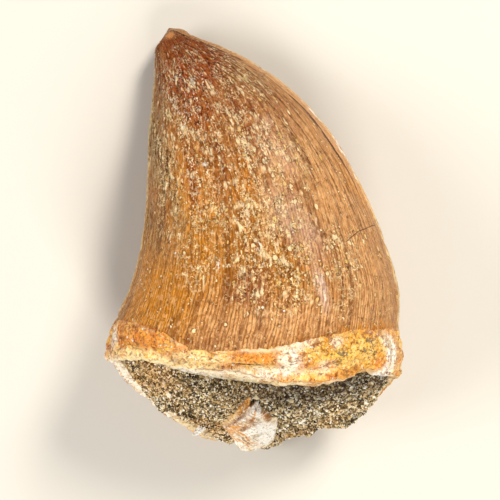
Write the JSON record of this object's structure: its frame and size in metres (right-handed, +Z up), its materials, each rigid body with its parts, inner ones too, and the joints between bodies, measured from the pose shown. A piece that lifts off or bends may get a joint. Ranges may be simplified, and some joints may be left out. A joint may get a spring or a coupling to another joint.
{
  "type": "fossil mosasaur tooth",
  "caption": "Fossil reptile tooth crown, curved and ribbed, lying on its back face, with its pulp cavity filled by sandy matrix that holds a bone chip.",
  "frame": {"origin": "middle of the bounding box of the lying tooth, on the surface it lies on", "axes": "+Y from the broken base to the tip, +Z up from the surface it lies on, out of the broad labial face"},
  "size_m": [0.0248, 0.038, 0.018],
  "materials": {
    "enamel": "satin",
    "sandstone": "matte",
    "bone": "satin"
  },
  "bodies": {
    "root": {"crown": "enamel", "matrix": "sandstone", "bone_chip": "bone"}
  },
  "joints": []
}
